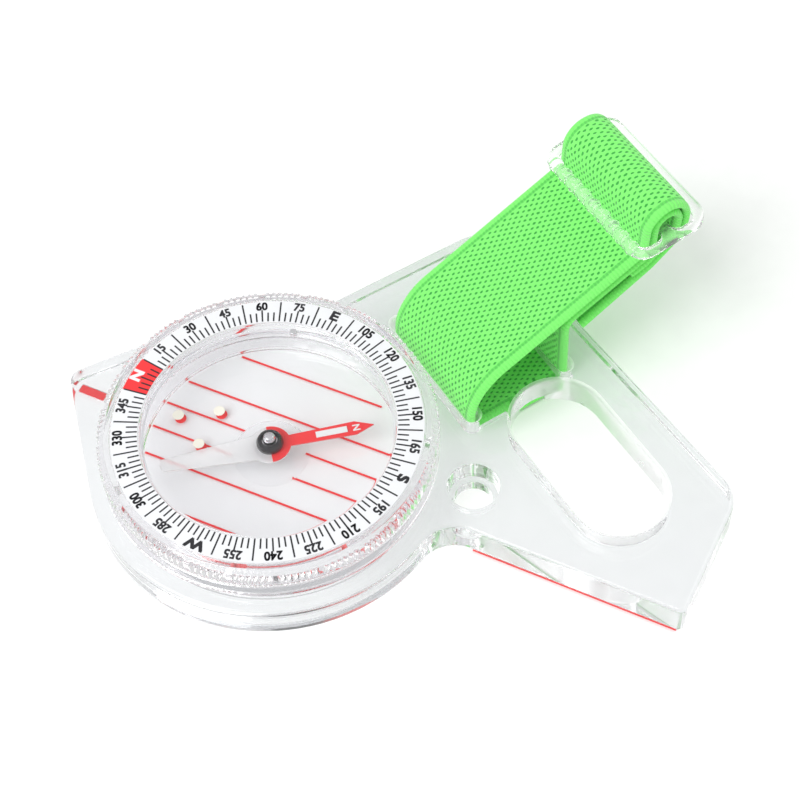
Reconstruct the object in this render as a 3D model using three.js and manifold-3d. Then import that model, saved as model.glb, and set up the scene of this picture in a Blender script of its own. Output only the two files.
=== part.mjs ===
// Thumb compass: a clear plate with a pointed nose, a turning dial that carries a liquid capsule and
// its needle, and an elastic thumb strap with a tri-glide buckle.
// Millimetres. +Z is up, +Y is the direction of travel, and the origin is on the dial's axis in the
// plane of the plate's underside.

import * as THREE from 'three';
import { mergeVertices } from 'three/addons/utils/BufferGeometryUtils.js';
import Module from 'manifold-3d';

const wasm = await Module();
wasm.setup();

// ---------------------------------------------------------------- driving dimensions
const degree = Math.PI / 180;

const plate = {
  thickness: 5,
  chamfer: 0.4,
  radius: 23.8,                    // of the round end, about the dial's axis
  noseAngle: 39 * degree,          // between +Y and the normals of the nose's two sides
  noseTip: 2,                      // radius
  notch: 5,                        // radius of the hollow between the round end and the tail
  tailEnd: -57,                    // y of the tail's end
  tailWidth: 19,                   // where the end would meet the diagonal side
  diagonal: 30 * degree,           // of the diagonal side from +Y
  shoulderTurn: 56.8 * degree,     // of the shoulder's normal from +X
  shoulderReach: 16.94,            // of the shoulder's side from the dial's axis
  shoulderBlend: 6,                // radius between the shoulder and the round end
  corner: 5,
};
const bore = { radius: 18.6, counterbore: 20.2, counterboreDepth: 1.5 };
const stadiumHole = { x: 16.5, y: -37.4, radius: 6.3, half: 6.7 };
const lanyardHole = { x: 6.1, y: -25.9, radius: 2.5, countersink: 3.25, countersinkDepth: 2.9 };
const indexMark = { halfWidth: 0.6, from: 25.4, to: 29.2, thickness: 0.17 };
const edgeMark = { from: -28.6, length: 27.6 };

const dial = { scaleInner: 16.54, scaleRadius: 20, top: 10.9, bearing: 18.35 };
const grips = { count: 24, root: 21.4, tip: 22.1, low: 8.8, high: 10.1 };
const capsule = { radius: 16.4, wall: 1.1, floor: 1.4, rim: 8.6, seal: 0.7, top: 10.7 };
const dots = [['tip', 0, 13.8], ['left', -2.8, 9.2], ['right', 2.8, 9.2]];
const needleHeading = -144 * degree; // of the red arm, about +Z from +Y
const hubRing = { bore: 1.15, radius: 2.7 };

const strap = {
  angle: 32 * degree,              // of the slots from +Y
  width: 19,
  thickness: 1.15,
  offset: -0.5,                    // of the strap's middle, along the slots
  slotLength: 20,
  slotWidth: 2,
  firstSlot: 24.8,                 // distance of the first slot from the dial's axis
  slotSpacing: 14.6,
  rise: 0.44,                      // slope of the arch
  arch: 9.17,                      // height at which the arch's line meets the first riser
  archDrop: 1.53,                  // of the arch's second layer below the first
  bend: 8,                         // radius from the first riser into the arch
  loop: 3.1,                       // radius of the loose loop over the buckle's middle bar
  loopRise: 1.6,                   // of the loop's centre above that bar
  seam: 23,                        // distance from the first slot at which the stretch is taken up
  seamGap: 0.3,
  freeEnd: [17, 11.75],            // distance from the first slot, and height
  sewnEnd: [24.5, 17.1],
};
const stitching = { from: 25, to: 25.6, half: 8, low: 16.53, high: 16.65 };
const recessDepth = 1.4;
const buckle = { bar: 0.75, pitch: 5, width: 21.8, rail: 1.1, tilt: 6.84 * degree, at: [29.8, 22.2] };

// ---------------------------------------------------------------- surfaces
function surface(color, roughness, metalness = 0) {
  return new THREE.MeshStandardMaterial({ color, roughness, metalness });
}

const clear = surface(0xe8eef0, 0.08);
const white = surface(0xf7f7f5, 0.5);
const red = surface(0xd8202a, 0.4);
const black = surface(0x151515, 0.35);
const green = surface(0x35e04a, 0.9);
const darkGreen = surface(0x1f7a35, 0.9);
const steel = surface(0xb9bcc0, 0.3, 1);
const luminous = surface(0xeeeec4, 0.6);

// ---------------------------------------------------------------- solids
const fine = 60;                   // segments of the large rings
const coarse = 24;                 // segments of the small round pieces

// Welds a geometry's vertices, drops its collapsed triangles and turns it to face outwards.
function weld(geometry) {
  geometry.deleteAttribute('normal');
  geometry.deleteAttribute('uv');
  const welded = mergeVertices(geometry, 1e-4);
  const corners = [new THREE.Vector3(), new THREE.Vector3(), new THREE.Vector3()];
  const triangles = [];
  let volume = 0;
  for (let i = 0; i < welded.index.count; i += 3) {
    const ids = [0, 1, 2].map((k) => welded.index.getX(i + k));
    if (new Set(ids).size < 3) continue;
    ids.forEach((id, k) => corners[k].fromBufferAttribute(welded.attributes.position, id));
    volume += corners[0].dot(corners[1].clone().cross(corners[2]));
    triangles.push(ids);
  }
  const outward = volume > 0 ? triangles : triangles.map(([a, b, c]) => [a, c, b]);
  welded.setIndex(outward.flat());
  return welded;
}

function solid(geometry) {
  const welded = weld(geometry);
  return new wasm.Manifold(new wasm.Mesh({
    numProp: 3,
    vertProperties: new Float32Array(welded.attributes.position.array),
    triVerts: new Uint32Array(welded.index.array),
  }));
}

function shell(manifold) {
  const { vertProperties, triVerts } = manifold.getMesh();
  const geometry = new THREE.BufferGeometry();
  geometry.setAttribute('position', new THREE.BufferAttribute(vertProperties, 3));
  geometry.setIndex(new THREE.BufferAttribute(triVerts, 1));
  return geometry;
}

function cut(body, ...tools) {
  return shell(tools.reduce((left, tool) => left.subtract(solid(tool)), solid(body)));
}

function join(body, ...others) {
  return shell(others.reduce((left, other) => left.add(solid(other)), solid(body)));
}

// A solid of revolution about +Z from [radius, height] pairs. A profile that doesn't start and end
// on the axis closes on itself.
function turned(profile, segments) {
  const points = profile.map(([radius, height]) => new THREE.Vector2(radius, height));
  const onAxis = profile[0][0] === 0 && profile.at(-1)[0] === 0;
  if (!onAxis) points.push(points[0].clone());
  return weld(new THREE.LatheGeometry(points, segments).rotateX(Math.PI / 2));
}

function disc(radius, low, high, segments = coarse) {
  return turned([[0, low], [radius, low], [radius, high], [0, high]], segments);
}

function ring(inner, outer, low, high, segments = fine) {
  return turned([[inner, low], [outer, low], [outer, high], [inner, high]], segments);
}

function box(low, high) {
  const size = high.map((value, i) => value - low[i]);
  const centre = low.map((value, i) => value + size[i] / 2);
  return weld(new THREE.BoxGeometry(...size).translate(...centre));
}

function slab(shape, low, high, curveSegments = 8) {
  const options = { depth: high - low, bevelEnabled: false, curveSegments };
  return weld(new THREE.ExtrudeGeometry(shape, options).translate(0, 0, low));
}

// A slab with a chamfer round every edge of its outline and holes.
function chamferedSlab(shape, height, chamfer, curveSegments) {
  const options = {
    depth: height - 2 * chamfer,
    bevelThickness: chamfer,
    bevelSize: chamfer,
    bevelOffset: -chamfer,
    bevelSegments: 1,
    curveSegments,
  };
  return weld(new THREE.ExtrudeGeometry(shape, options).translate(0, 0, chamfer));
}

function polygon(points) {
  return new THREE.Shape(points.map(([x, y]) => new THREE.Vector2(x, y)));
}

function named(name, geometry, material) {
  const mesh = new THREE.Mesh(geometry, material);
  mesh.name = name;
  return mesh;
}

// ---------------------------------------------------------------- outlines
// Rounds the corner between the straight lines from one point to the corner and on to the next.
function roundCorner(shape, before, at, after, radius) {
  const corner = new THREE.Vector2(...at);
  const back = new THREE.Vector2(...before).sub(corner).normalize();
  const onward = new THREE.Vector2(...after).sub(corner).normalize();
  const half = Math.acos(back.dot(onward)) / 2;
  const reach = radius / Math.tan(half);
  const inward = back.clone().add(onward).setLength(radius / Math.sin(half));
  const start = back.multiplyScalar(reach).sub(inward).angle();
  const end = onward.multiplyScalar(reach).sub(inward).angle();
  const clockwise = Math.sin(end - start) < 0;
  shape.absarc(corner.x + inward.x, corner.y + inward.y, radius, start, end, clockwise);
}

// A hole with round ends; half is the distance from its centre to the centre of either end.
function stadium(x, y, half, radius, direction) {
  const path = new THREE.Path();
  for (const end of [1, -1]) {
    const turn = direction - end * Math.PI / 2;
    const x1 = x + end * half * Math.cos(direction);
    const y1 = y + end * half * Math.sin(direction);
    path.absarc(x1, y1, radius, turn, turn + Math.PI);
  }
  path.closePath();
  return path;
}

// The outer edge of the plate, counter-clockwise from the notch beside the tail.
function plateOutline() {
  const { radius, notch, noseTip, noseAngle, tailEnd, tailWidth, shoulderBlend } = plate;
  const notchY = -Math.sqrt((radius + notch) ** 2 - notch ** 2);
  const notchTurn = Math.atan2(notchY, -notch);
  const diagonal = new THREE.Vector2(Math.sin(plate.diagonal), Math.cos(plate.diagonal));
  const normal = new THREE.Vector2(Math.cos(plate.shoulderTurn), Math.sin(plate.shoulderTurn));
  const tailCorner = new THREE.Vector2(tailWidth, tailEnd);
  const side = (plate.shoulderReach - tailCorner.dot(normal)) / diagonal.dot(normal);
  const elbow = tailCorner.clone().addScaledVector(diagonal, side);

  // The blend's arc is outside the plate, tangent to the shoulder and to the round end.
  const blendReach = plate.shoulderReach + shoulderBlend;
  const blendTurn = plate.shoulderTurn - Math.acos(blendReach / (radius + shoulderBlend));
  const blend = new THREE.Vector2(Math.cos(blendTurn), Math.sin(blendTurn));
  blend.multiplyScalar(radius + shoulderBlend);
  const blendFoot = blend.clone().addScaledVector(normal, -shoulderBlend);
  const tip = (radius - noseTip) / Math.cos(noseAngle);
  const noseStart = Math.PI / 2 - noseAngle;
  const noseEnd = Math.PI / 2 + noseAngle;

  const shape = new THREE.Shape();
  roundCorner(shape, [0, notchY], [0, tailEnd], tailCorner, 0.8);
  roundCorner(shape, [0, tailEnd], tailCorner.toArray(), elbow, plate.corner);
  roundCorner(shape, tailCorner, elbow.toArray(), blendFoot, plate.corner);
  shape.absarc(blend.x, blend.y, shoulderBlend, plate.shoulderTurn + Math.PI, blendTurn + Math.PI, true);
  shape.absarc(0, 0, radius, blendTurn, noseStart);
  shape.absarc(0, tip, noseTip, noseStart, noseEnd);
  shape.absarc(0, 0, radius, noseEnd, notchTurn + 2 * Math.PI);
  shape.absarc(-notch, notchY, notch, notchTurn + Math.PI, 0, true);
  return shape;
}

// ---------------------------------------------------------------- strap directions
const slotDirection = Math.PI / 2 - strap.angle;

// Moves a piece from the strap's own directions (x from the first slot towards the buckle, y along
// the slots from the strap's middle) to the plate's.
function intoStrap(geometry) {
  return geometry.translate(strap.firstSlot, strap.offset, 0).rotateZ(-strap.angle);
}

function slotHole(distance) {
  const x = distance * Math.cos(strap.angle) + strap.offset * Math.cos(slotDirection);
  const y = -distance * Math.sin(strap.angle) + strap.offset * Math.sin(slotDirection);
  const radius = strap.slotWidth / 2;
  return stadium(x, y, strap.slotLength / 2 - radius, radius, slotDirection);
}

// The path of a taut band past a row of stations [x, z, radius]. A positive radius keeps the
// station on the band's left and a negative one on its right.
function belt(stations) {
  const path = new THREE.Path();
  const turns = stations.slice(1).map(([x, z, radius], i) => {
    const [fromX, fromZ, fromRadius] = stations[i];
    const distance = Math.hypot(x - fromX, z - fromZ);
    return Math.atan2(z - fromZ, x - fromX) - Math.asin((radius - fromRadius) / distance);
  });
  path.moveTo(stations[0][0], stations[0][1]);
  stations.slice(1, -1).forEach(([x, z, radius], i) => {
    const start = turns[i] - Math.sign(radius) * Math.PI / 2;
    const end = turns[i + 1] - Math.sign(radius) * Math.PI / 2;
    const reach = Math.abs(radius);
    path.lineTo(x + reach * Math.cos(start), z + reach * Math.sin(start));
    path.absarc(x, z, reach, start, end, radius < 0);
  });
  path.lineTo(...stations.at(-1).slice(0, 2));
  return path;
}

// Webbing of the strap's thickness and width along a path in the strap's x and z.
function webbing(path) {
  const isNew = (point, i, all) => i === 0 || point.distanceTo(all[i - 1]) > 1e-6;
  const points = path.getPoints(4).filter(isNew);
  const normals = points.map((point, i) => {
    const before = points[Math.max(i - 1, 0)];
    const after = points[Math.min(i + 1, points.length - 1)];
    const run = after.clone().sub(before).normalize();
    return new THREE.Vector2(-run.y, run.x);
  });
  const half = strap.thickness / 2;
  const left = points.map((point, i) => point.clone().addScaledVector(normals[i], half));
  const right = points.map((point, i) => point.clone().addScaledVector(normals[i], -half));
  const profile = new THREE.Shape([...left, ...right.reverse()]);
  const flat = new THREE.ExtrudeGeometry(profile, { depth: strap.width, bevelEnabled: false });
  return intoStrap(weld(flat.rotateX(Math.PI / 2).translate(0, strap.width / 2, 0)));
}

// ---------------------------------------------------------------- plate
// The space of a round hole through the plate: one radius up to the step, another above it, and a
// chamfer at the top.
function steppedHole(lower, step, upper, segments) {
  const { thickness, chamfer } = plate;
  return turned([
    [0, -1], [lower, -1], [lower, step], [upper, step], [upper, thickness - chamfer],
    [upper + chamfer, thickness], [upper + chamfer, thickness + 1], [0, thickness + 1],
  ], segments);
}

function baseplate() {
  const outline = plateOutline();
  const { x, y, radius, half } = stadiumHole;
  outline.holes.push(slotHole(strap.firstSlot));
  outline.holes.push(slotHole(strap.firstSlot + strap.slotSpacing));
  outline.holes.push(stadium(x, y, half, radius, slotDirection));

  const dialBore = steppedHole(bore.counterbore, bore.counterboreDepth, bore.radius, fine);
  const lanyardFloor = plate.thickness - lanyardHole.countersinkDepth;
  const lanyard = steppedHole(lanyardHole.radius, lanyardFloor, lanyardHole.countersink, coarse);
  lanyard.translate(lanyardHole.x, lanyardHole.y, 0);
  const halfRecess = strap.width / 2 + 0.3;
  const recess = box([0, -halfRecess, -1], [strap.slotSpacing, halfRecess, recessDepth]);
  const { halfWidth, from, to, thickness } = indexMark;
  const groove = box([-halfWidth - 0.05, from - 0.1, -1], [halfWidth + 0.05, to + 0.1, thickness + 0.08]);
  const body = chamferedSlab(outline, plate.thickness, plate.chamfer, 8);
  return cut(body, dialBore, lanyard, intoStrap(recess), groove);
}

// The strip sits just inside its groove in the plate's underside.
function indexLine() {
  const { halfWidth, from, to, thickness } = indexMark;
  return box([-halfWidth, from, 0.03], [halfWidth, to, 0.03 + thickness]);
}

// A three-sided line that fills the lower chamfer of the tail's straight side.
function edgeLine() {
  const leg = plate.chamfer - 0.06;
  const section = polygon([[0, 0], [leg, 0], [0, leg]]);
  return slab(section, 0, edgeMark.length).rotateX(Math.PI / 2).translate(0, edgeMark.from, 0);
}

// ---------------------------------------------------------------- dial
// The clear ring: a skirt inside the plate's bore, a waist, and a rim with grips.
function bezelRing() {
  const ledge = dial.top - 0.45;
  const profile = [
    [16.7, 1.2], [dial.bearing, 1.2], [dial.bearing, 5.3], [21.4, 5.3], [21.8, 5.7], [21.8, 6.5],
    [21.2, 6.9], [21.2, 8.2], [21.6, 8.6], [21.6, 10.2], [20.9, dial.top], [20.15, dial.top],
    [20.15, ledge], [16.7, ledge],
  ];
  return join(turned(profile, fine), gripBand());
}

// Raised pads round the rim, each six sevenths of its pitch long.
function gripBand() {
  const { count, root, tip, low, high } = grips;
  const pitch = 2 * Math.PI / count;
  const half = pitch * 3 / 7;
  const shape = new THREE.Shape();
  for (let i = 0; i < count; i += 1) {
    const middle = i * pitch;
    shape.absarc(0, 0, tip, middle - half, middle + half);
    shape.absarc(0, 0, root, middle + half + 0.01, middle + pitch - half - 0.01);
  }
  return cut(slab(shape, low, high, 2), disc(root - 0.4, low - 1, high + 1, fine));
}

function capsuleBase() {
  const { radius, wall, floor, rim } = capsule;
  return turned([
    [5.05, 0], [radius, 0], [radius, rim], [radius - wall, rim], [radius - wall, floor], [5.05, floor],
  ], fine);
}

// The lid, with the blind hole that the capsule is filled through.
function capsuleLens() {
  const { radius, rim, seal, top } = capsule;
  const edge = rim + seal;
  const lens = turned([
    [0, rim + 0.2], [15.2, rim + 0.2], [15.2, edge], [radius, edge], [radius, top], [0, top],
  ], fine);
  return cut(lens, fillerPlace(disc(0.55, edge + 0.3, top + 1)));
}

function fillerPlace(geometry) {
  const distance = 15.3;
  const bearing = 75 * degree;
  return geometry.translate(distance * Math.sin(bearing), distance * Math.cos(bearing), 0);
}

function pivotSeat() {
  return turned([
    [0, 0], [4.95, 0], [4.95, 1.4], [1.8, 1.7], [1.2, 3.2], [0.5, 3.2], [0.5, 0.9], [0, 0.9],
  ], coarse);
}

function pivotPin() {
  return turned([[0, 1], [0.42, 1], [0.42, 4.4], [0, 5.3]], 12);
}

function luminousDots() {
  const low = capsule.floor + 0.05;
  return dots.map(([name, x, y]) => {
    return named(`luminous_dot_${name}`, disc(0.75, low, low + 0.2, 16).translate(x, y, 0), luminous);
  });
}

// ---------------------------------------------------------------- needle
// A flat arm along +Y with a hub ring round the pivot.
function arm(points, low, high) {
  const hub = ring(hubRing.bore, hubRing.radius, low, high, coarse);
  return join(slab(polygon(points), low, high), hub);
}

// The red arm's hub is the half of the ring on its own side.
function northArm() {
  const [low, high] = [4.15, 4.45];
  const points = [[-1, 2], [1, 2], [1.05, 11], [0, 13.6], [-1.05, 11]];
  return cut(arm(points, low, high), box([-5, -5, low - 1], [5, -0.1, high + 1]));
}

function southArm() {
  return arm([[1.9, -1.9], [-1.9, -1.9], [-0.9, -14.1], [0, -14.4], [0.9, -14.1]], 3.75, 4.05);
}

function needleHub() {
  return turned([
    [0, 6.25], [1.05, 6.25], [1.05, 4.55], [1.9, 4.55], [1.9, 5.2],
    [1.75, 6.1], [1.3, 6.9], [0.7, 7.3], [0, 7.35],
  ], coarse);
}

function jewelBearing() {
  return turned([[0, 5.45], [0.5, 4.9], [0.9, 4.9], [0.9, 6.1], [0, 6.1]], 16);
}

function needlePieces() {
  return [
    named('needle_magnet', ring(1.65, 2.3, 2.7, 3.6, coarse), steel),
    named('needle_south_arm', southArm(), white),
    named('needle_north_arm', northArm(), red),
    named('needle_window', box([-0.6, 6, 4.48], [0.6, 10.5, 4.6]), white),
    named('needle_hub', needleHub(), black),
    named('jewel_bearing', jewelBearing(), steel),
  ];
}

// ---------------------------------------------------------------- strap
// Radius of the webbing's middle round a bar, clear of the bar's square corners.
const bandOnBar = buckle.bar * Math.SQRT2 + 0.08 + strap.thickness / 2;
const layer = strap.thickness + 0.1;
const bars = [-1, 0].map((side) => [
  buckle.at[0] + side * buckle.pitch * Math.cos(buckle.tilt),
  buckle.at[1] + side * buckle.pitch * Math.sin(buckle.tilt),
]);
const loopCentre = [bars[1][0], bars[1][1] + strap.loopRise];

function archHeight(x, drop = 0) {
  return strap.arch + strap.rise * x - drop;
}

// The centre of a bend of this radius that turns a riser at x into the arch's slope.
function archBend(x, radius, drop = 0) {
  const lower = radius * Math.hypot(1, strap.rise);
  return [x + radius, archHeight(x + radius, drop) - lower];
}

// Down from the arch through the first slot, under the plate and up through the second.
function strapWebbing() {
  const under = recessDepth / 2;
  const turn = 0.8;
  const drop = strap.archDrop;
  return webbing(belt([
    [strap.seam, archHeight(strap.seam), 0],
    [...archBend(0, strap.bend), strap.bend],
    [turn, under + turn, turn],
    [strap.slotSpacing - turn, under + turn, turn],
    [...archBend(strap.slotSpacing, 2.2, drop), -2.2],
    [strap.seam, archHeight(strap.seam, drop), 0],
  ]));
}

// The adjustable end: under the first bar, loosely round the middle one and back below the strap.
function strapFold() {
  const start = strap.seam + strap.seamGap;
  return webbing(belt([
    [start, archHeight(start), 0],
    [...bars[0], bandOnBar],
    [...loopCentre, -strap.loop],
    [...bars[1], -(bandOnBar + layer)],
    [...bars[0], -(bandOnBar + 3 * layer)],
    [...strap.freeEnd, 0],
  ]));
}

// The fixed end: round the middle bar and stitched back to itself.
function strapAnchor() {
  const start = strap.seam + strap.seamGap;
  return webbing(belt([
    [start, archHeight(start, strap.archDrop), 0],
    [...bars[0], bandOnBar + layer],
    [...loopCentre, -(strap.loop - layer)],
    [...bars[1], -bandOnBar],
    [...bars[0], -(bandOnBar + 2 * layer)],
    [...strap.sewnEnd, 0],
  ]));
}

function strapStitching() {
  const { from, to, half, low, high } = stitching;
  return box([from, -half, low], [to, half, high]);
}

// The buckle lies flat with its middle bar at the origin, and is then tilted and put in place.
function strapBuckle() {
  const { bar, pitch, width, rail, tilt, at } = buckle;
  const end = pitch + bar;
  const half = width / 2;
  const shape = new THREE.Shape();
  roundCorner(shape, [-end, half], [-end, -half], [end, -half], 1.6);
  roundCorner(shape, [-end, -half], [end, -half], [end, half], 1.6);
  roundCorner(shape, [end, -half], [end, half], [-end, half], 1.6);
  roundCorner(shape, [end, half], [-end, half], [-end, -half], 1.6);
  for (let y = 8.4; y > -8.5; y -= 2.1) {
    shape.absarc(-end, y, 0.7, Math.PI / 2, 3 * Math.PI / 2);
  }
  const slots = [bar - pitch, bar].map((x) => {
    return box([x, rail - half, -2 * bar], [x + pitch - 2 * bar, half - rail, 2 * bar]);
  });
  const flat = cut(chamferedSlab(shape, 2 * bar, 0.25, 4).translate(0, 0, -bar), ...slots);
  return intoStrap(flat.rotateY(-tilt).translate(at[0], 0, at[1]));
}

// ---------------------------------------------------------------- assembly
const compass = new THREE.Group();
compass.add(
  named('baseplate', baseplate(), clear),
  named('index_line', indexLine(), red),
  named('edge_line', edgeLine(), red),
  named('strap_webbing', strapWebbing(), green),
  named('strap_fold', strapFold(), green),
  named('strap_anchor', strapAnchor(), green),
  named('strap_stitching', intoStrap(strapStitching()), darkGreen),
  named('strap_buckle', strapBuckle(), clear),
  named('bezel_ring', bezelRing(), clear),
  named('dial_scale', ring(dial.scaleInner, dial.scaleRadius, dial.top - 0.35, dial.top), white),
  named('retaining_ring', ring(17, 19.8, 0.1, 0.9), clear),
  named('capsule_base', capsuleBase(), clear),
  named('capsule_seal', ring(15.4, 16.3, capsule.rim + 0.1, capsule.rim + 0.6), white),
  named('capsule_lens', capsuleLens(), clear),
  named('filler_plug', fillerPlace(disc(0.45, 9.7, 10.75)), steel),
  named('pivot_seat', pivotSeat(), clear),
  named('pivot_pin', pivotPin(), steel),
  ...luminousDots(),
);

const needle = new THREE.Group();
needle.add(...needlePieces());
needle.rotation.z = needleHeading;
compass.add(needle);

export default compass;
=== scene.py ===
"""Looks of the thumb compass: clear acrylic plate and dial, liquid capsule, needle and green elastic strap.

Sizes are in millimetres in the builders below and become metres when a piece is made. The origin is on
the dial's axis in the plane of the plate's underside, +Y is the direction of travel and +Z is up.
"""

import math

import bmesh
import bpy
from mathutils import Matrix, Vector


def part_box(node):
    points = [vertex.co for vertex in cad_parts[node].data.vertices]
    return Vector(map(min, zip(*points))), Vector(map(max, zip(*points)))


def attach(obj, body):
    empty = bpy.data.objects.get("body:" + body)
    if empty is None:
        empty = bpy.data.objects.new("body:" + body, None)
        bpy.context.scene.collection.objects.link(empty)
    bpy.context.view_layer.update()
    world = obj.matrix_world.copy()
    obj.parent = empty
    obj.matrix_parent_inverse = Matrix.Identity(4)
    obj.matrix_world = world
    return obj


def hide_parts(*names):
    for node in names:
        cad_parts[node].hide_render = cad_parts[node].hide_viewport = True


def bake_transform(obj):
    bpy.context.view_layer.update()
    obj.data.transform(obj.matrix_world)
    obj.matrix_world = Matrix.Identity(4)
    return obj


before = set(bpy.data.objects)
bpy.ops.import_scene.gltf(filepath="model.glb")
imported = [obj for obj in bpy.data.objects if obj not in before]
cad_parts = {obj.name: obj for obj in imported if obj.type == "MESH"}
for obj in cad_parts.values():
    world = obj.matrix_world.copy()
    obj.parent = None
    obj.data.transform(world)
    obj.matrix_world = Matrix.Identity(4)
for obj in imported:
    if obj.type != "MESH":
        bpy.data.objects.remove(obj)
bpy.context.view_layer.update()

MM = 0.001
TURN = 2 * math.pi


# ---------------------------------------------------------------- sizes from the frame
def height(node):
    low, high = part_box(node)
    return low[2] / MM, high[2] / MM


def outer_radius(node):
    low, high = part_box(node)
    return (high[1] - low[1]) / 2 / MM


PLATE_TOP = height("baseplate")[1]
TAIL_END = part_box("baseplate")[0][1] / MM
SCALE_TOP = height("dial_scale")[1]
SCALE_OUTER = outer_radius("dial_scale")
SCALE_INNER = 16.54
CAPSULE_RADIUS = outer_radius("capsule_base")
CAPSULE_TOP = height("capsule_lens")[1]

PLATE_RADIUS = 23.8
BORE = 18.6
SKIRT = 18.3
COUNTERBORE = 20.2
COUNTERBORE_DEPTH = 1.5
EDGE = 0.6
HOLE_AT = (16.5, -37.4)
HOLE_HALF = 6.7
HOLE_RADIUS = 6.3
LANYARD_HOLE_AT = (6.1, -25.9)

GRIP_GROUPS = 24
GRIP_TEETH = 7
GRIP_DEPTH = 0.3
TICKS = 144
TICKS_PER_NUMBER = 6
NUMBER_RADIUS = 19.12
DOT_RADIUS = 0.75

STRAP_ANGLE = math.radians(32)
STRAP_WIDTH = 19.0
STRAP_THICK = 1.15
STRAP_OFFSET = -0.5
FIRST_SLOT = 24.8
SLOT_SPACING = 14.6
SLOT_RADIUS = 1.0
SLOT_HALF = 9.0
RISE = 0.44
ARCH = 9.17
ARCH_DROP = 1.53
BEND = 8.0
LOOP = 3.1
LOOP_RISE = 1.6
FREE_END = (17.0, 11.75)
SEWN_END = (24.5, 17.1)
RECESS = 1.4

BUCKLE_AT = (29.8, 22.2)
BUCKLE_TILT = math.radians(6.84)
BUCKLE_BAR = 0.75
BUCKLE_PITCH = 5.0
BUCKLE_WIDTH = 21.8
BUCKLE_RAIL = 1.1

NEEDLE_HEADING = math.radians(-142.5)


# ---------------------------------------------------------------- camera, light and floor
def add_camera():
    heading, elevation, roll = (math.radians(a) for a in (61.63, 55.22, 3.26))
    target = Vector((15.71, -10.82, 2.5))
    distance = 273.36
    focal_length = 92.73
    forward = Vector((
        math.sin(heading) * math.cos(elevation),
        math.cos(heading) * math.cos(elevation),
        -math.sin(elevation),
    ))
    level = forward.cross(Vector((0, 0, 1))).normalized()
    upright = level.cross(forward)
    right = math.cos(roll) * level - math.sin(roll) * upright
    up = math.sin(roll) * level + math.cos(roll) * upright
    camera = bpy.data.objects.new("camera", bpy.data.cameras.new("camera"))
    camera.data.lens = focal_length
    place = Matrix((right, up, -forward)).transposed().to_4x4()
    place.translation = (target - forward * distance) * MM
    camera.matrix_world = place
    bpy.context.scene.collection.objects.link(camera)
    bpy.context.scene.camera = camera


def add_area_light(name, place, size, power):
    light = bpy.data.lights.new(name, "AREA")
    light.size = size * MM
    light.energy = power
    lamp = bpy.data.objects.new(name, light)
    lamp.location = Vector(place) * MM
    lamp.rotation_euler = (-Vector(place)).to_track_quat("-Z", "Y").to_euler()
    bpy.context.scene.collection.objects.link(lamp)


def add_world():
    """A white tent with a greyer band above the horizon, so that clear edges have something to show."""
    world = bpy.data.worlds.new("studio")
    world.use_nodes = True
    tree = world.node_tree
    background = tree.nodes["Background"]
    place = tree.nodes.new("ShaderNodeTexCoord")
    split = tree.nodes.new("ShaderNodeSeparateXYZ")
    ramp = tree.nodes.new("ShaderNodeValToRGB")
    tree.links.new(place.outputs["Generated"], split.inputs[0])
    tree.links.new(split.outputs["Z"], ramp.inputs[0])
    tree.links.new(ramp.outputs["Color"], background.inputs["Color"])
    stops = ramp.color_ramp.elements
    stops[0].position = 0.0
    stops[0].color = (0.78, 0.78, 0.8, 1)
    stops[1].position = 0.55
    stops[1].color = (1, 1, 1, 1)
    background.inputs["Strength"].default_value = 0.8
    bpy.context.scene.world = world
    bpy.context.scene.view_settings.view_transform = "Standard"


def let_light_through_acrylic():
    """Enough bounces for light that is reflected many times inside the plate."""
    cycles = bpy.context.scene.cycles
    cycles.max_bounces = 32
    cycles.glossy_bounces = 24
    cycles.transmission_bounces = 24


def add_floor():
    bm = bmesh.new()
    bmesh.ops.create_grid(bm, x_segments=8, y_segments=8, size=3)
    mesh = bpy.data.meshes.new("floor")
    bm.to_mesh(mesh)
    bm.free()
    floor = bpy.data.objects.new("floor", mesh)
    floor.location.z = -0.05 * MM
    floor.data.materials.append(paint("floor_white", (0.93, 0.93, 0.93), 0.7, grain=900, bump=0.02))
    bpy.context.scene.collection.objects.link(floor)


# ---------------------------------------------------------------- materials
def new_material(name):
    material = bpy.data.materials.new(name)
    material.use_nodes = True
    tree = material.node_tree
    return material, tree, tree.nodes["Principled BSDF"]


def add_node(tree, kind, inputs=None, **settings):
    node = tree.nodes.new(kind)
    for key, value in settings.items():
        setattr(node, key, value)
    for key, value in (inputs or {}).items():
        if isinstance(value, bpy.types.NodeSocket):
            tree.links.new(value, node.inputs[key])
        else:
            node.inputs[key].default_value = value
    return node


def math_node(tree, operation, *values):
    return add_node(tree, "ShaderNodeMath", dict(enumerate(values)), operation=operation).outputs[0]


def noise(tree, scale, detail=3.0, vector=None):
    vector = vector or add_node(tree, "ShaderNodeTexCoord").outputs["Object"]
    inputs = {"Vector": vector, "Scale": scale, "Detail": detail}
    return add_node(tree, "ShaderNodeTexNoise", inputs).outputs[0]


def spread(tree, value, low, high):
    node = add_node(tree, "ShaderNodeMapRange", {"Value": value, "To Min": low, "To Max": high})
    return node.outputs[0]


def roughen(tree, shader, low, high, scale, bump, distance=0.00002):
    """Roughness that wanders between two values, and a fine bump."""
    grain = noise(tree, scale)
    tree.links.new(spread(tree, grain, low, high), shader.inputs["Roughness"])
    bumps = add_node(tree, "ShaderNodeBump", {"Height": grain, "Strength": bump, "Distance": distance})
    tree.links.new(bumps.outputs[0], shader.inputs["Normal"])


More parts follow.
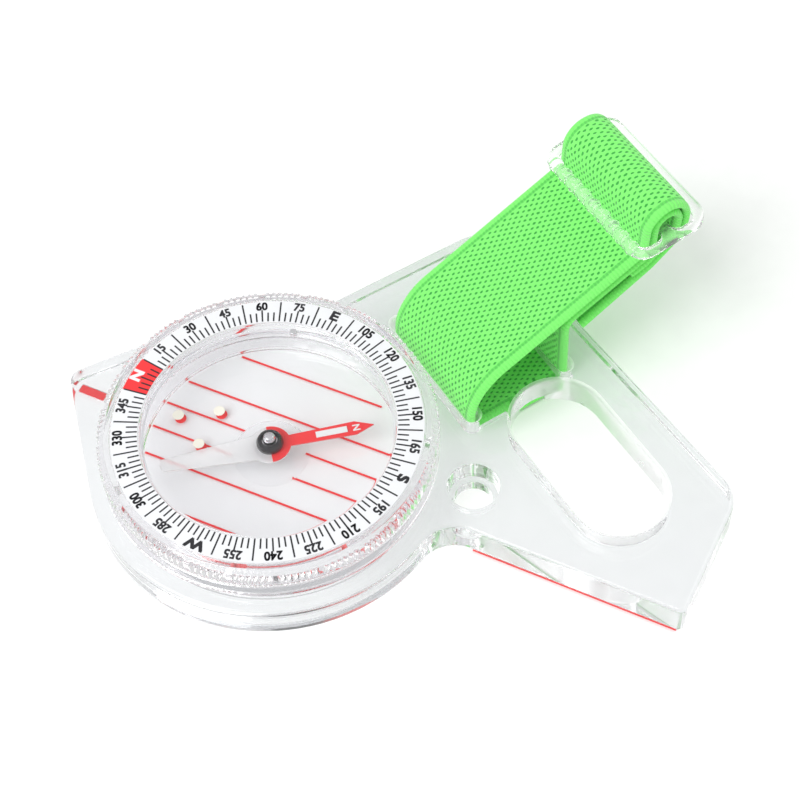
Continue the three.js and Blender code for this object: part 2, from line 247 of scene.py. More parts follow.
def tint(tree, shader, colour, scale, amount=0.06):
    """Base colour that varies a little from place to place."""
    shade = spread(tree, noise(tree, scale), 1 - amount, 1 + amount)
    mix = add_node(tree, "ShaderNodeVectorMath", operation="MULTIPLY")
    mix.inputs[0].default_value = colour
    tree.links.new(shade, mix.inputs[1])
    tree.links.new(mix.outputs[0], shader.inputs["Base Color"])


def paint(name, colour, roughness, grain=2500, bump=0.05, coat=0.0):
    material, tree, shader = new_material(name)
    tint(tree, shader, colour, grain * 0.3, 0.03)
    roughen(tree, shader, roughness * 0.85, min(1, roughness * 1.15), grain, bump)
    shader.inputs["Coat Weight"].default_value = coat
    return material


def clear_plastic(name, colour, ior=1.49, roughness=0.02, clearness=1.0):
    """Moulded acrylic: faint waviness from the mould and fine handling marks."""
    material, tree, shader = new_material(name)
    shader.inputs["Base Color"].default_value = (*colour, 1)
    shader.inputs["Transmission Weight"].default_value = clearness
    shader.inputs["IOR"].default_value = ior
    roughen(tree, shader, roughness * 0.3, roughness * 1.7, 220, 0.12, 0.00003)
    return material


def frosted_plastic(name, colour, roughness):
    """Milky plastic that lets half of the light through."""
    material, tree, shader = new_material(name)
    tint(tree, shader, colour, 400, 0.03)
    roughen(tree, shader, roughness * 0.8, roughness * 1.2, 1200, 0.1)
    shader.inputs["Transmission Weight"].default_value = 0.55
    shader.inputs["IOR"].default_value = 1.1
    return material


def metal(name, colour, roughness):
    material, tree, shader = new_material(name)
    tint(tree, shader, colour, 3000, 0.08)
    roughen(tree, shader, roughness * 0.7, roughness * 1.3, 4000, 0.15)
    shader.inputs["Metallic"].default_value = 1.0
    return material


KNIT_LENGTH = 1.3
KNIT_WIDTH = 0.82
SELVEDGE = 1.2
RIB = 0.5


def knit_green(name, light, painted_shade_green):
    """Knitted elastic: staggered holes between bright loops, and a groove and ribs at each selvedge. The
    holes and the groove are darkened with painted shade, and the ribs carry stripes of painted light and
    shade.

    The UV map holds the place along and across the strap in metres.
    """
    material, tree, shader = new_material(name)
    uv = add_node(tree, "ShaderNodeUVMap", uv_map="strap").outputs[0]
    fray = add_node(tree, "ShaderNodeTexNoise", {"Vector": uv, "Scale": 2600.0, "Detail": 2.0}).outputs[1]
    wobble = add_node(tree, "ShaderNodeVectorMath", {0: fray, 1: (0.5, 0.5, 0.5)}, operation="SUBTRACT")
    shift = add_node(tree, "ShaderNodeVectorMath", {0: wobble.outputs[0]}, operation="SCALE")
    shift.inputs["Scale"].default_value = 0.00022
    moved = add_node(tree, "ShaderNodeVectorMath", {0: uv, 1: shift.outputs[0]}, operation="ADD").outputs[0]
    split = add_node(tree, "ShaderNodeSeparateXYZ", {0: moved})
    along = split.outputs[0]
    across = split.outputs[1]
    waves = [
        math_node(tree, "COSINE", math_node(tree, "MULTIPLY", place, TURN / (pitch * MM)))
        for place, pitch in ((along, KNIT_LENGTH), (across, KNIT_WIDTH))
    ]
    lattice = math_node(tree, "ABSOLUTE", math_node(tree, "MULTIPLY", math_node(tree, "ADD", *waves), 0.5))
    edge = math_node(tree, "SUBTRACT", STRAP_WIDTH / 2 * MM, math_node(tree, "ABSOLUTE", across))
    inside = add_node(tree, "ShaderNodeMapRange", {
        "Value": edge, "From Min": SELVEDGE * MM, "From Max": (SELVEDGE + 0.5) * MM,
    }).outputs[0]
    # painted shade: the holes between the loops are mixed towards the darker green
    holes = add_node(tree, "ShaderNodeMapRange", {
        "Value": lattice, "From Min": 0.62, "From Max": 0.82,
    }).outputs[0]
    holes = math_node(tree, "MULTIPLY", holes, inside)
    # painted shade along the groove inside each selvedge
    groove = math_node(tree, "ABSOLUTE", math_node(tree, "SUBTRACT", edge, SELVEDGE * MM))
    groove = add_node(tree, "ShaderNodeMapRange", {
        "Value": groove, "From Min": 0.12 * MM, "From Max": 0.28 * MM, "To Min": 0.55, "To Max": 0.0,
    }).outputs[0]
    ribs = math_node(tree, "COSINE", math_node(tree, "MULTIPLY", along, TURN / (RIB * MM)))
    ribs = math_node(tree, "MULTIPLY", ribs, math_node(tree, "SUBTRACT", 1.0, inside))
    # holes and groove together make the painted shade mask, which also lowers the bump; the ribs add stripes
    # of painted light and shade
    shadow = math_node(tree, "MAXIMUM", holes, groove)
    shade = math_node(tree, "ADD", shadow, math_node(tree, "MULTIPLY", ribs, 0.12))
    patch = spread(tree, noise(tree, 700.0), -0.08, 0.08)
    shade = math_node(tree, "ADD", shade, patch)
    # mix from the loops' own green to the darker green of the painted shade
    mix = add_node(tree, "ShaderNodeMix", {"Factor": shade}, data_type="RGBA")
    mix.inputs[6].default_value = (*light, 1)
    mix.inputs[7].default_value = (*painted_shade_green, 1)
    tree.links.new(mix.outputs[2], shader.inputs["Base Color"])
    yarn = noise(tree, 6000.0)
    rise = math_node(tree, "ADD", math_node(tree, "MULTIPLY", ribs, 0.4), 1.0)
    rise = math_node(tree, "SUBTRACT", rise, shadow)
    rise = math_node(tree, "ADD", rise, math_node(tree, "MULTIPLY", yarn, 0.35))
    bumps = add_node(tree, "ShaderNodeBump", {"Height": rise, "Strength": 0.8, "Distance": 0.00012})
    tree.links.new(bumps.outputs[0], shader.inputs["Normal"])
    tree.links.new(spread(tree, yarn, 0.7, 0.95), shader.inputs["Roughness"])
    shader.inputs["Sheen Weight"].default_value = 0.3
    shader.inputs["Sheen Roughness"].default_value = 0.5
    return material


# ---------------------------------------------------------------- pieces
def add_piece(name, bm, material, body, replaces=(), clear=False, second=None):
    """Turns a bmesh in millimetres into a smooth-shaded piece that rides on a body.

    Faces with material index 1 take the second material.
    """
    bmesh.ops.remove_doubles(bm, verts=bm.verts, dist=1e-5)
    bmesh.ops.recalc_face_normals(bm, faces=bm.faces)
    bmesh.ops.scale(bm, vec=(MM, MM, MM), verts=bm.verts)
    mesh = bpy.data.meshes.new(name)
    bm.to_mesh(mesh)
    bm.free()
    mesh.shade_smooth()
    mesh.materials.append(material)
    if second:
        mesh.materials.append(second)
    piece = bpy.data.objects.new(name, mesh)
    bpy.context.scene.collection.objects.link(piece)
    mesh.set_sharp_from_angle(angle=math.radians(40))
    normals = piece.modifiers.new("normals", "WEIGHTED_NORMAL")
    normals.keep_sharp = True
    if clear:
        piece.visible_shadow = False
        piece.visible_diffuse = False
    if body:
        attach(piece, body)
    if replaces:
        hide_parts(*replaces)
    return piece


def bridge(bm, lower, upper):
    count = len(lower)
    for i in range(count):
        j = (i + 1) % count
        bm.faces.new((lower[i], lower[j], upper[j], upper[i]))


def rounded(points, steps=4):
    """A path through (x, y, radius) points, with each corner rounded to its radius."""
    path = []
    for i, (x, y, radius) in enumerate(points):
        corner = Vector((x, y))
        if radius == 0:
            path.append(corner)
            continue
        back = (Vector(points[i - 1][:2]) - corner).normalized()
        onward = (Vector(points[(i + 1) % len(points)][:2]) - corner).normalized()
        half = math.acos(back.dot(onward)) / 2
        centre = corner + (back + onward).normalized() * (radius / math.sin(half))
        start = corner + back * (radius / math.tan(half)) - centre
        sweep = math.copysign(math.pi - 2 * half, back.cross(onward)) * -1
        for step in range(steps + 1):
            turn = Matrix.Rotation(sweep * step / steps, 2)
            path.append(centre + turn @ start)
    return path


def turned(profile, around=180, ripple=None):
    """A solid of revolution from (radius, height, rounding) points.

    The profile closes on itself, unless it starts and ends on the axis, where a flat face closes each end.
    """
    path = rounded(profile)
    solid = profile[0][0] == 0
    if solid:
        path = [p for p in path if p.x > 1e-6]
    bm = bmesh.new()
    rings = []
    for radius, z in path:
        ring = []
        for i in range(around):
            angle = TURN * i / around
            reach = radius + (ripple(angle, radius, z) if ripple else 0)
            ring.append(bm.verts.new((reach * math.cos(angle), reach * math.sin(angle), z)))
        rings.append(ring)
    for lower, upper in zip(rings, rings[1:]):
        bridge(bm, lower, upper)
    if solid:
        bm.faces.new(rings[0])
        bm.faces.new(rings[-1])
    else:
        bridge(bm, rings[-1], rings[0])
    return bm


def moved(bm, matrix):
    bm.transform(matrix)
    return bm


def joined(parts):
    """One bmesh from several, without merging them."""
    whole = bmesh.new()
    for part in parts:
        mesh = bpy.data.meshes.new("part")
        part.to_mesh(mesh)
        part.free()
        whole.from_mesh(mesh)
        bpy.data.meshes.remove(mesh)
    return whole


def prism(points, low, high, bevel=0.0):
    """An extruded outline with its top and bottom edges bevelled."""
    bm = bmesh.new()
    lower = [bm.verts.new((x, y, low)) for x, y in points]
    upper = [bm.verts.new((x, y, high)) for x, y in points]
    bridge(bm, lower, upper)
    bm.faces.new(lower)
    bm.faces.new(upper)
    if bevel:
        edges = [e for e in bm.edges if abs(e.verts[0].co.z - e.verts[1].co.z) < 1e-6]
        bmesh.ops.bevel(bm, geom=edges, offset=bevel, segments=2, profile=0.5, affect="EDGES")
    return bm


def boolean(bm, others, operation):
    """Cuts or joins closed bmeshes exactly."""
    def as_object(part):
        bmesh.ops.recalc_face_normals(part, faces=part.faces)
        mesh = bpy.data.meshes.new("part")
        part.to_mesh(mesh)
        part.free()
        made = bpy.data.objects.new("part", mesh)
        bpy.context.scene.collection.objects.link(made)
        return made

    body = as_object(bm)
    tools = [as_object(other) for other in others]
    for tool in tools:
        step = body.modifiers.new("step", "BOOLEAN")
        step.operation = operation
        step.solver = "EXACT"
        step.object = tool
    evaluated = body.evaluated_get(bpy.context.evaluated_depsgraph_get())
    result = bmesh.new()
    result.from_mesh(evaluated.to_mesh())
    for made in (body, *tools):
        mesh = made.data
        bpy.data.objects.remove(made)
        bpy.data.meshes.remove(mesh)
    return result


# ---------------------------------------------------------------- plate
def arc(x, y, radius, start, end, steps):
    """Points of an arc; the end is in the direction of turn, so end < start turns clockwise."""
    angles = [start + (end - start) * i / steps for i in range(steps + 1)]
    return [(x + radius * math.cos(a), y + radius * math.sin(a)) for a in angles]


def corner_arc(before, at, after, radius, inset, steps=10):
    corner = Vector(at)
    back = (Vector(before) - corner).normalized()
    onward = (Vector(after) - corner).normalized()
    half = math.acos(back.dot(onward)) / 2
    centre = corner + (back + onward).normalized() * (radius / math.sin(half))
    start = corner + back * (radius / math.tan(half)) - centre
    angle = math.atan2(start.y, start.x)
    return arc(centre.x, centre.y, radius - inset, angle, angle + math.pi - 2 * half, steps)


def plate_outline(inset):
    """The plate's outer edge moved inwards, counter-clockwise from the notch beside the tail."""
    notch, tip_radius, blend_radius = 5.0, 2.0, 6.0
    nose = math.radians(39)
    notch_y = -math.sqrt((PLATE_RADIUS + notch) ** 2 - notch ** 2)
    notch_turn = math.atan2(notch_y, -notch)
    normal_turn = math.radians(56.8)
    normal = Vector((math.cos(normal_turn), math.sin(normal_turn)))
    diagonal = Vector((math.sin(math.radians(30)), math.cos(math.radians(30))))
    shoulder = 16.94
    tail_corner = Vector((19.0, TAIL_END))
    elbow = tail_corner + diagonal * ((shoulder - tail_corner.dot(normal)) / diagonal.dot(normal))
    blend_turn = normal_turn - math.acos((shoulder + blend_radius) / (PLATE_RADIUS + blend_radius))
    blend_reach = PLATE_RADIUS + blend_radius
    blend = Vector((math.cos(blend_turn), math.sin(blend_turn))) * blend_reach
    foot = blend - normal * blend_radius
    tip = (PLATE_RADIUS - tip_radius) / math.cos(nose)
    quarter = math.pi / 2
    radius = PLATE_RADIUS - inset
    return [
        *corner_arc((0, notch_y), (0, TAIL_END), tail_corner, 0.8, inset, 6),
        *corner_arc((0, TAIL_END), tail_corner, elbow, 5.0, inset),
        *corner_arc(tail_corner, elbow, foot, 5.0, inset),
        *arc(*blend, blend_radius + inset, normal_turn + math.pi, blend_turn + math.pi, 12),
        *arc(0, 0, radius, blend_turn, quarter - nose, 24),
        *arc(0, tip, tip_radius - inset, quarter - nose, quarter + nose, 14),
        *arc(0, 0, radius, quarter + nose, notch_turn + TURN, 80),
        *arc(-notch, notch_y, notch + inset, notch_turn + math.pi, 0, 16),
    ]


def stadium(x, y, half, radius, steps=20):
    """A function that gives a round-ended hole along the slots' direction, widened by an inset."""
    direction = math.pi / 2 - STRAP_ANGLE

    def outline(inset):
        points = []
        for end in (1, -1):
            turn = direction - end * math.pi / 2
            x1 = x + end * half * math.cos(direction)
            y1 = y + end * half * math.sin(direction)
            points += arc(x1, y1, radius + inset, turn, turn + math.pi, steps)
        return points

    return outline


def round_hole(x, y, steps):
    """A function that gives a circle of any radius, without a repeated last point."""
    return lambda radius: arc(x, y, radius, 0, TURN, steps)[:-1]


def edge_profile(low, high, radius, base=0.0, steps=5):
    """(inset, height) from the bottom face to the top one, with both edges rounded."""
    quarter = [math.pi / 2 * i / steps for i in range(steps + 1)]
    bottom = [(base + radius * (1 - math.sin(a)), low + radius * (1 - math.cos(a))) for a in quarter]
    top = [(inset, high + low - z) for inset, z in reversed(bottom)]
    return [(base + radius + 0.15, low), *bottom, *top, (base + radius + 0.15, high)]


def slab_with_holes(loops):
    """Walls for each (outline, profile) pair, closed by flat faces at the bottom and the top."""
    bm = bmesh.new()
    rims = ([], [])
    for outline, profile in loops:
        rings = [[bm.verts.new((x, y, z)) for x, y in outline(inset)] for inset, z in profile]
        for lower, upper in zip(rings, rings[1:]):
            bridge(bm, lower, upper)
        for rim, ring in zip(rims, (rings[0], rings[-1])):
            rim += [bm.edges.get((ring[i - 1], ring[i])) for i in range(len(ring))]
    for rim in rims:
        bmesh.ops.triangle_fill(bm, use_beauty=True, edges=rim)
    return bm


def strap_place():
    return Matrix.Rotation(-STRAP_ANGLE, 4, "Z") @ Matrix.Translation((FIRST_SLOT, STRAP_OFFSET, 0))


def bore_profile():
    step = COUNTERBORE_DEPTH
    quarter = [math.pi / 2 * i / 5 for i in range(6)]
    top = [(BORE + EDGE * (1 - math.cos(a)), PLATE_TOP - EDGE * (1 - math.sin(a))) for a in quarter]
    return [
        (COUNTERBORE + 0.45, 0), (COUNTERBORE + 0.3, 0), (COUNTERBORE, 0.3), (COUNTERBORE, step),
        (BORE, step), *top, (BORE + EDGE + 0.15, PLATE_TOP),
    ]


def lanyard_profile():
    lower, upper, step = 2.5, 3.25, 2.1
    return [
        (lower + 0.5, 0), (lower + 0.35, 0), (lower, 0.35), (lower, step - 0.2), (lower + 0.2, step),
        (upper, step), (upper, PLATE_TOP - 0.5), (upper + 0.15, PLATE_TOP - 0.15),
        (upper + 0.5, PLATE_TOP), (upper + 0.65, PLATE_TOP),
    ]


def index_outline(clearance=0.0):
    """The line under the nose, or with a clearance the groove that it lies in."""
    low, high = (Vector(corner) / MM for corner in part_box("index_line"))
    x0, x1 = low.x - clearance, high.x + clearance
    y0, y1 = low.y - clearance, high.y + clearance
    corners = [(x, y, 0.15) for x, y in ((x0, y0), (x1, y0), (x1, y1), (x0, y1))]
    return [tuple(p) for p in rounded(corners)]


def frost_cut_walls(bm):
    """The strap slots and the long hole are milled, which leaves their walls matt."""
    into_strap = strap_place().inverted()
    margin = EDGE + 0.1
    for face in bm.faces:
        place = face.calc_center_median()
        if not 0.2 < place.z < PLATE_TOP - 0.05:
            continue
        in_strap = into_strap @ place
        near_slot = any(abs(in_strap.x - x) < SLOT_RADIUS + margin for x in (0, SLOT_SPACING))
        in_slot = near_slot and abs(in_strap.y) < SLOT_HALF + SLOT_RADIUS + margin
        from_hole = Matrix.Rotation(STRAP_ANGLE, 3, "Z") @ (place - Vector((*HOLE_AT, place.z)))
        past_end = max(0.0, abs(from_hole.y) - HOLE_HALF)
        if in_slot or math.hypot(from_hole.x, past_end) < HOLE_RADIUS + margin:
            face.material_index = 1


def make_plate(acrylic, frosted):
    edge = edge_profile(0, PLATE_TOP, EDGE)
    narrow = edge_profile(0, PLATE_TOP, 0.5)
    loops = [
        (plate_outline, edge),
        (round_hole(0, 0, 180), bore_profile()),
        (round_hole(*LANYARD_HOLE_AT, 48), lanyard_profile()),
        (stadium(*HOLE_AT, HOLE_HALF, HOLE_RADIUS), edge),
    ]
    for distance in (FIRST_SLOT, FIRST_SLOT + SLOT_SPACING):
        centre = Matrix.Rotation(-STRAP_ANGLE, 4, "Z") @ Vector((distance, STRAP_OFFSET, 0))
        loops.append((stadium(centre.x, centre.y, SLOT_HALF, SLOT_RADIUS, 12), narrow))
    half = STRAP_WIDTH / 2 + 0.3
    outline = [(0, -half), (SLOT_SPACING, -half), (SLOT_SPACING, half), (0, half)]
    recess = moved(prism(outline, -1, RECESS), strap_place())
    groove = prism(index_outline(0.06), -1, height("index_line")[1] + 0.06)
    plate = boolean(slab_with_holes(loops), [recess, groove], "DIFFERENCE")
    frost_cut_walls(plate)
    add_piece("plate", plate, acrylic, "root", ["baseplate"], clear=True, second=frosted)


def make_direction_lines(red):
    """The red line under the nose and the one along the tail's straight edge."""
    low, high = height("index_line")
    strip = prism(index_outline(), low, high)
    add_piece("index_strip", strip, red, "root", ["index_line"])
    box_low, box_high = (Vector(corner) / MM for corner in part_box("edge_line"))
    leg = box_high.x
    line = prism([(0, 0), (leg, 0), (0, leg)], -box_high.y, -box_low.y)
    upright = Matrix.Rotation(math.pi / 2, 4, "X")
    add_piece("edge_strip", moved(line, upright), red, "root", ["edge_line"])


# ---------------------------------------------------------------- dial
def grip(angle, radius, z):
    """Fine teeth in groups round the bezel's rim."""
    if radius < 21.3 or not 8.7 < z < 10.35:
        return 0.0
    place = angle / TURN * GRIP_GROUPS % 1 * GRIP_TEETH
    if place < 0.5 or place > GRIP_TEETH - 0.5:
        return 0.0
    return GRIP_DEPTH * (0.5 - 0.5 * math.cos(TURN * (place - 0.5)))


def make_bezel(acrylic):
    inner = SKIRT + 0.05
    lip, flange, neck, rim = 20.15, 21.8, 21.2, 21.6
    foot = 5.3
    ledge = SCALE_TOP - 0.45
    profile = [
        (inner, foot, 0.1), (21.4, foot, 0.3), (flange, 5.8, 0.2), (flange, 6.5, 0.3),
        (neck, 6.95, 0.3), (neck, 8.1, 0.2), (rim, 8.7, 0.15), (rim, 8.85, 0), (rim, 9.5, 0),
        (rim, 10.1, 0), (rim, 10.3, 0.1), (20.95, SCALE_TOP, 0.3), (lip, SCALE_TOP, 0.08),
        (lip, ledge, 0.05), (inner, ledge, 0.1),
    ]
    bezel = turned(profile, GRIP_GROUPS * GRIP_TEETH * 5, grip)
    add_piece("bezel", bezel, acrylic, "dial", ["bezel_ring"], clear=True)
    retainer = turned([(17, 0.1, 0.15), (19.8, 0.1, 0.25), (19.8, 0.9, 0.15), (17, 0.9, 0.15)])
    add_piece("retainer", retainer, acrylic, "dial", ["retaining_ring"], clear=True)


def dial_place(bearing, radius, z):
    """A place on the dial at a compass bearing, with +Y pointing outwards."""
    turn = Matrix.Rotation(-math.radians(bearing), 4, "Z")
    return turn @ Matrix.Translation((0, radius, z))


PRINT = 0.03


def tick(bearing, inner, outer, width):
    half = width / 2
    middle = (inner + outer) / 2
    reach = (outer - inner) / 2
    outline = [(-half, -reach), (half, -reach), (half, reach), (-half, reach)]
    return moved(prism(outline, 0, PRINT), dial_place(bearing, middle, SCALE_TOP))


def letters(text, size, width=1.0, weight=0.0):
    """A bmesh of flat raised lettering, centred on the origin and thickened by copies moved apart."""
    curve = bpy.data.curves.new("text", "FONT")
    curve.body = text
    curve.size = size
    curve.extrude = PRINT / 2
    curve.align_x = "CENTER"
    curve.resolution_u = 3
    made = bpy.data.objects.new("text", curve)
    bpy.context.scene.collection.objects.link(made)
    evaluated = made.evaluated_get(bpy.context.evaluated_depsgraph_get())
    bm = bmesh.new()
    bm.from_mesh(evaluated.to_mesh())
    bpy.data.objects.remove(made)
    bpy.data.curves.remove(curve)
    bmesh.ops.remove_doubles(bm, verts=bm.verts, dist=1e-4)
    low = min(v.co.y for v in bm.verts)
    high = max(v.co.y for v in bm.verts)
    left = min(v.co.x for v in bm.verts)
    right = max(v.co.x for v in bm.verts)
    centre = Matrix.Translation((-(left + right) / 2, -(low + high) / 2, PRINT / 2))
    moved(bm, Matrix.Diagonal((width, 1, 1, 1)) @ centre)
    steps = [(x * weight, y * weight, 0) for x in (-1, 1) for y in (-1, 1)]
    copies = [moved(bm.copy(), Matrix.Translation(step)) for step in steps]
    return boolean(bm, copies, "UNION")


def make_scale(white, black, red):
    band = turned([
        (SCALE_INNER, SCALE_TOP - 0.35, 0.05), (SCALE_OUTER, SCALE_TOP - 0.35, 0.05),
        (SCALE_OUTER, SCALE_TOP, 0.08), (SCALE_INNER, SCALE_TOP, 0.08),
    ], 240)
    add_piece("scale_band", band, white, "dial", ["dial_scale"])

    start = SCALE_INNER + 0.08
    marks = []
    for i in range(TICKS):
        halfway = i % TICKS_PER_NUMBER == TICKS_PER_NUMBER / 2
        numbered = i % TICKS_PER_NUMBER == 0
        end = 19.75 if halfway else 18.5 if numbered else 18.05
        marks.append(tick(360 / TICKS * i, start, end, 0.2))
    add_piece("scale_ticks", joined(marks), black, "dial")

    names = {90: "E", 180: "S", 270: "W"}
    labels = []
    for bearing in range(15, 360, 15):
        if bearing in names:
            label = letters(names[bearing], 1.95, 1.25, 0.09)
        else:
            label = letters(str(bearing), 1.74, 0.88, 0.05)
        labels.append(moved(label, dial_place(bearing, NUMBER_RADIUS, SCALE_TOP)))
    add_piece("scale_numbers", joined(labels), black, "dial")

    half = math.radians(7.5)
    quarter = math.pi / 2
    sector = arc(0, 0, SCALE_OUTER - 0.06, quarter - half, quarter + half, 12)
    sector += arc(0, 0, SCALE_INNER + 0.05, quarter + half, quarter - half, 12)
    field = moved(prism(sector, 0, PRINT * 0.6), Matrix.Translation((0, 0, SCALE_TOP)))
    add_piece("north_field", field, red, "dial")
    north = moved(letters("N", 1.9, 1.25, 0.1), dial_place(0, 19.1, SCALE_TOP + PRINT * 0.6))
    add_piece("north_letter", north, white, "dial")


def make_capsule(acrylic, seal_white, steel, red, luminous, weak):
    """The closed capsule: bowl, lid and liquid are one clear body with the skirt that holds them."""
    radius, top = CAPSULE_RADIUS, CAPSULE_TOP
    foot_radius, bottom, shoulder = 16.85, 0.02, 1.2
    ledge = SCALE_TOP - 0.5
    body = turned([
        (0, bottom, 0), (foot_radius, bottom, 0.3), (foot_radius, shoulder, 0.1), (SKIRT, shoulder, 0.4),
        (SKIRT, ledge, 0.3), (radius, ledge, 0.05), (radius, top, 0.3), (0, top, 0),
    ])
    add_piece("capsule_body", body, acrylic, "dial",
              ["capsule_base", "capsule_lens"], clear=True)
    low, high = height("capsule_seal")
    inner, outer = 15.95, 16.25
    seal = turned([(inner, low, 0.1), (outer, low, 0.1), (outer, high, 0.1), (inner, high, 0.1)])
    add_piece("seal_band", seal, seal_white, "dial", ["capsule_seal"], clear=True)
    low, high = height("filler_plug")
    plug = turned([(0, low, 0), (0.45, low, 0.05), (0.45, high, 0.1), (0, high, 0)], 32)
    bearing, reach = math.radians(75), 15.3
    plug = moved(plug, Matrix.Translation((reach * math.sin(bearing), reach * math.cos(bearing), 0)))
    add_piece("filler_screw", plug, steel, "dial", ["filler_plug"])

    seat = turned([
        (0, 0.6, 0), (4.95, 0.6, 0.1), (4.95, 1.4, 0.2), (1.8, 1.7, 0.3), (1.2, 3.2, 0.15), (0, 3.2, 0),
    ], 96)
    add_piece("pivot_cup", seat, weak, "dial", ["pivot_seat"], clear=True)
    pin = turned([(0, 1, 0), (0.42, 1, 0.05), (0.42, 4.3, 0.1), (0.04, 5.3, 0), (0, 5.3, 0)], 32)
    add_piece("pivot_needle", pin, steel, "dial", ["pivot_pin"])

    for name in ("tip", "left", "right"):
        node = f"luminous_dot_{name}"
        low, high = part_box(node)
        x, y = ((low[k] + high[k]) / 2 / MM for k in (0, 1))
        dot = turned([(0, 1.45, 0), (DOT_RADIUS, 1.45, 0.05), (DOT_RADIUS, 1.65, 0.08), (0, 1.65, 0)], 40)
        add_piece(f"glow_dot_{name}", moved(dot, Matrix.Translation((x, y, 0))), luminous, "dial",
                  [node])
        back = turned([(0, 0.5, 0), (DOT_RADIUS, 0.5, 0), (DOT_RADIUS, 0.56, 0), (0, 0.56, 0)], 40)
        moved(back, Matrix.Translation((x, y - 0.3, 0)))
        add_piece(f"glow_dot_back_{name}", back, red, "dial")


def make_north_lines(red):
    """Six red lines printed under the capsule's floor, a little turned.

    The middle pair stops short of the pivot.
    """
    reach, half, forward = 16.2, 0.145, 0.4
    south_gap, north_gap = 4.3, 4.5
    lines = []
    for x in (-12.5, -6.1, -2.0, 2.0, 6.1, 12.5):
        end = math.sqrt(reach ** 2 - x ** 2)
        spans = [(-end, -south_gap), (north_gap, end)] if abs(x) < 3 else [(-end, end)]
        for low, high in spans:
            corners = [(x - half, low), (x + half, low), (x + half, high), (x - half, high)]
            lines.append(prism([(cx, cy + forward) for cx, cy in corners], 0.08, 0.14))
    printed = moved(joined(lines), Matrix.Rotation(math.radians(1.2), 4, "Z"))
    add_piece("north_lines", printed, red, "dial")


# ---------------------------------------------------------------- needle
def at_needle(bm):
    return moved(bm, Matrix.Rotation(NEEDLE_HEADING, 4, "Z"))


def needle_arm(points, low, high, half_hub=False):
    """A flat arm with a ring, or the half of one on its own side, round the pivot."""
    ring_radius, hole_radius = 2.7, 1.15
    blade = prism(points, low, high)
    disc = prism(arc(0, 0, ring_radius, 0, TURN, 64)[:-1], low, high)
    holes = [prism(arc(0, 0, hole_radius, 0, TURN, 48)[:-1], low - 1, high + 1)]
    if half_hub:
        holes.append(prism([(-5, -5), (5, -5), (5, -0.1), (-5, -0.1)], low - 1, high + 1))
    whole = boolean(disc, [blade], "UNION")
    return at_needle(boolean(whole, holes, "DIFFERENCE"))


def make_needle(red, white_arm, white, black, steel):
    low, high = height("needle_north_arm")
    blade = [(-0.8, 1.5), (0.8, 1.5), (1.0, 11.2), (0, 13.6), (-1.0, 11.2)]
    north = needle_arm(blade, low, high, half_hub=True)
    add_piece("north_arm", north, red, "needle", ["needle_north_arm"])
    low, high = height("needle_south_arm")
    wedge = [(1.9, -1.9), (-1.9, -1.9), (-0.9, -14.1), (0, -14.4), (0.9, -14.1)]
    south = needle_arm(wedge, low, high)
    add_piece("south_arm", south, white_arm, "needle", ["needle_south_arm"])
    low, high = height("needle_window")
    window = prism([(-0.45, 6.0), (0.45, 6.0), (0.45, 10.1), (-0.45, 10.1)], low - 0.02, high)
    add_piece("needle_slot", at_needle(window), white, "needle", ["needle_window"])
    name = moved(letters("N", 1.35, 1.0, 0.03), Matrix.Translation((0, 11.3, height("needle_north_arm")[1])))
    add_piece("needle_letter", at_needle(name), white, "needle")

    low, high = height("needle_magnet")
    magnet = turned([(1.65, low, 0.1), (2.3, low, 0.1), (2.3, high, 0.1), (1.65, high, 0.1)], 96)
    add_piece("magnet", magnet, steel, "needle", ["needle_magnet"])
    hub = turned([
        (1.05, 6.2, 0), (1.05, 4.55, 0.1), (1.75, 4.55, 0.15), (1.75, 5.3, 0.3), (1.55, 6.1, 0.4),
        (1.2, 6.5, 0.15),
    ], 96)
    add_piece("needle_cap", hub, black, "needle", ["needle_hub"])
    jewel = turned([(0, 4.95, 0), (0.85, 4.95, 0.1), (0.85, 6.7, 0.25), (0.65, 7.3, 0.25), (0, 7.55, 0)], 48)
    add_piece("jewel", jewel, steel, "needle", ["jewel_bearing"])


# ---------------------------------------------------------------- strap
def belt(stations, spacing):
    """Evenly spaced points of a taut band past stations (x, z, radius), and its length.

    A positive radius keeps the station on the band's left and a negative one on its right.
    """
    steps = 32
    turns = []
    for (x0, z0, r0), (x1, z1, r1) in zip(stations, stations[1:]):
        distance = math.hypot(x1 - x0, z1 - z0)
        turns.append(math.atan2(z1 - z0, x1 - x0) - math.asin((r1 - r0) / distance))
    path = [Vector(stations[0][:2])]
    for (x, z, radius), before, after in zip(stations[1:-1], turns, turns[1:]):
        quarter = math.copysign(math.pi / 2, radius)
        sweep = after - before
        sweep += TURN * round((quarter - sweep) / TURN)
        for step in range(steps + 1):
            angle = before - quarter + sweep * step / steps
            path.append(Vector((x + abs(radius) * math.cos(angle), z + abs(radius) * math.sin(angle))))
    path.append(Vector(stations[-1][:2]))

    lengths = [0.0]
    for a, b in zip(path, path[1:]):
        lengths.append(lengths[-1] + (b - a).length)
    count = round(lengths[-1] / spacing)
    points = []
    k = 0
    for i in range(count + 1):
        place = lengths[-1] * i / count
        while k < len(lengths) - 2 and lengths[k + 1] < place:
            k += 1
        share = (place - lengths[k]) / max(lengths[k + 1] - lengths[k], 1e-9)
        points.append(path[k].lerp(path[k + 1], share))
    return points, lengths[-1]


def knit_relief(along, across):
    """How far the surface stands below the loops' tops at a place on the webbing."""
    from_edge = STRAP_WIDTH / 2 - abs(across)
    if from_edge < SELVEDGE + 0.25:
        return 0.07 * math.exp(-((from_edge - SELVEDGE) / 0.15) ** 2)
    wave = (math.cos(TURN * along / KNIT_LENGTH) + math.cos(TURN * across / KNIT_WIDTH)) / 2
    return 0.14 * max(0.0, (abs(wave) - 0.35) / 0.65) ** 1.5


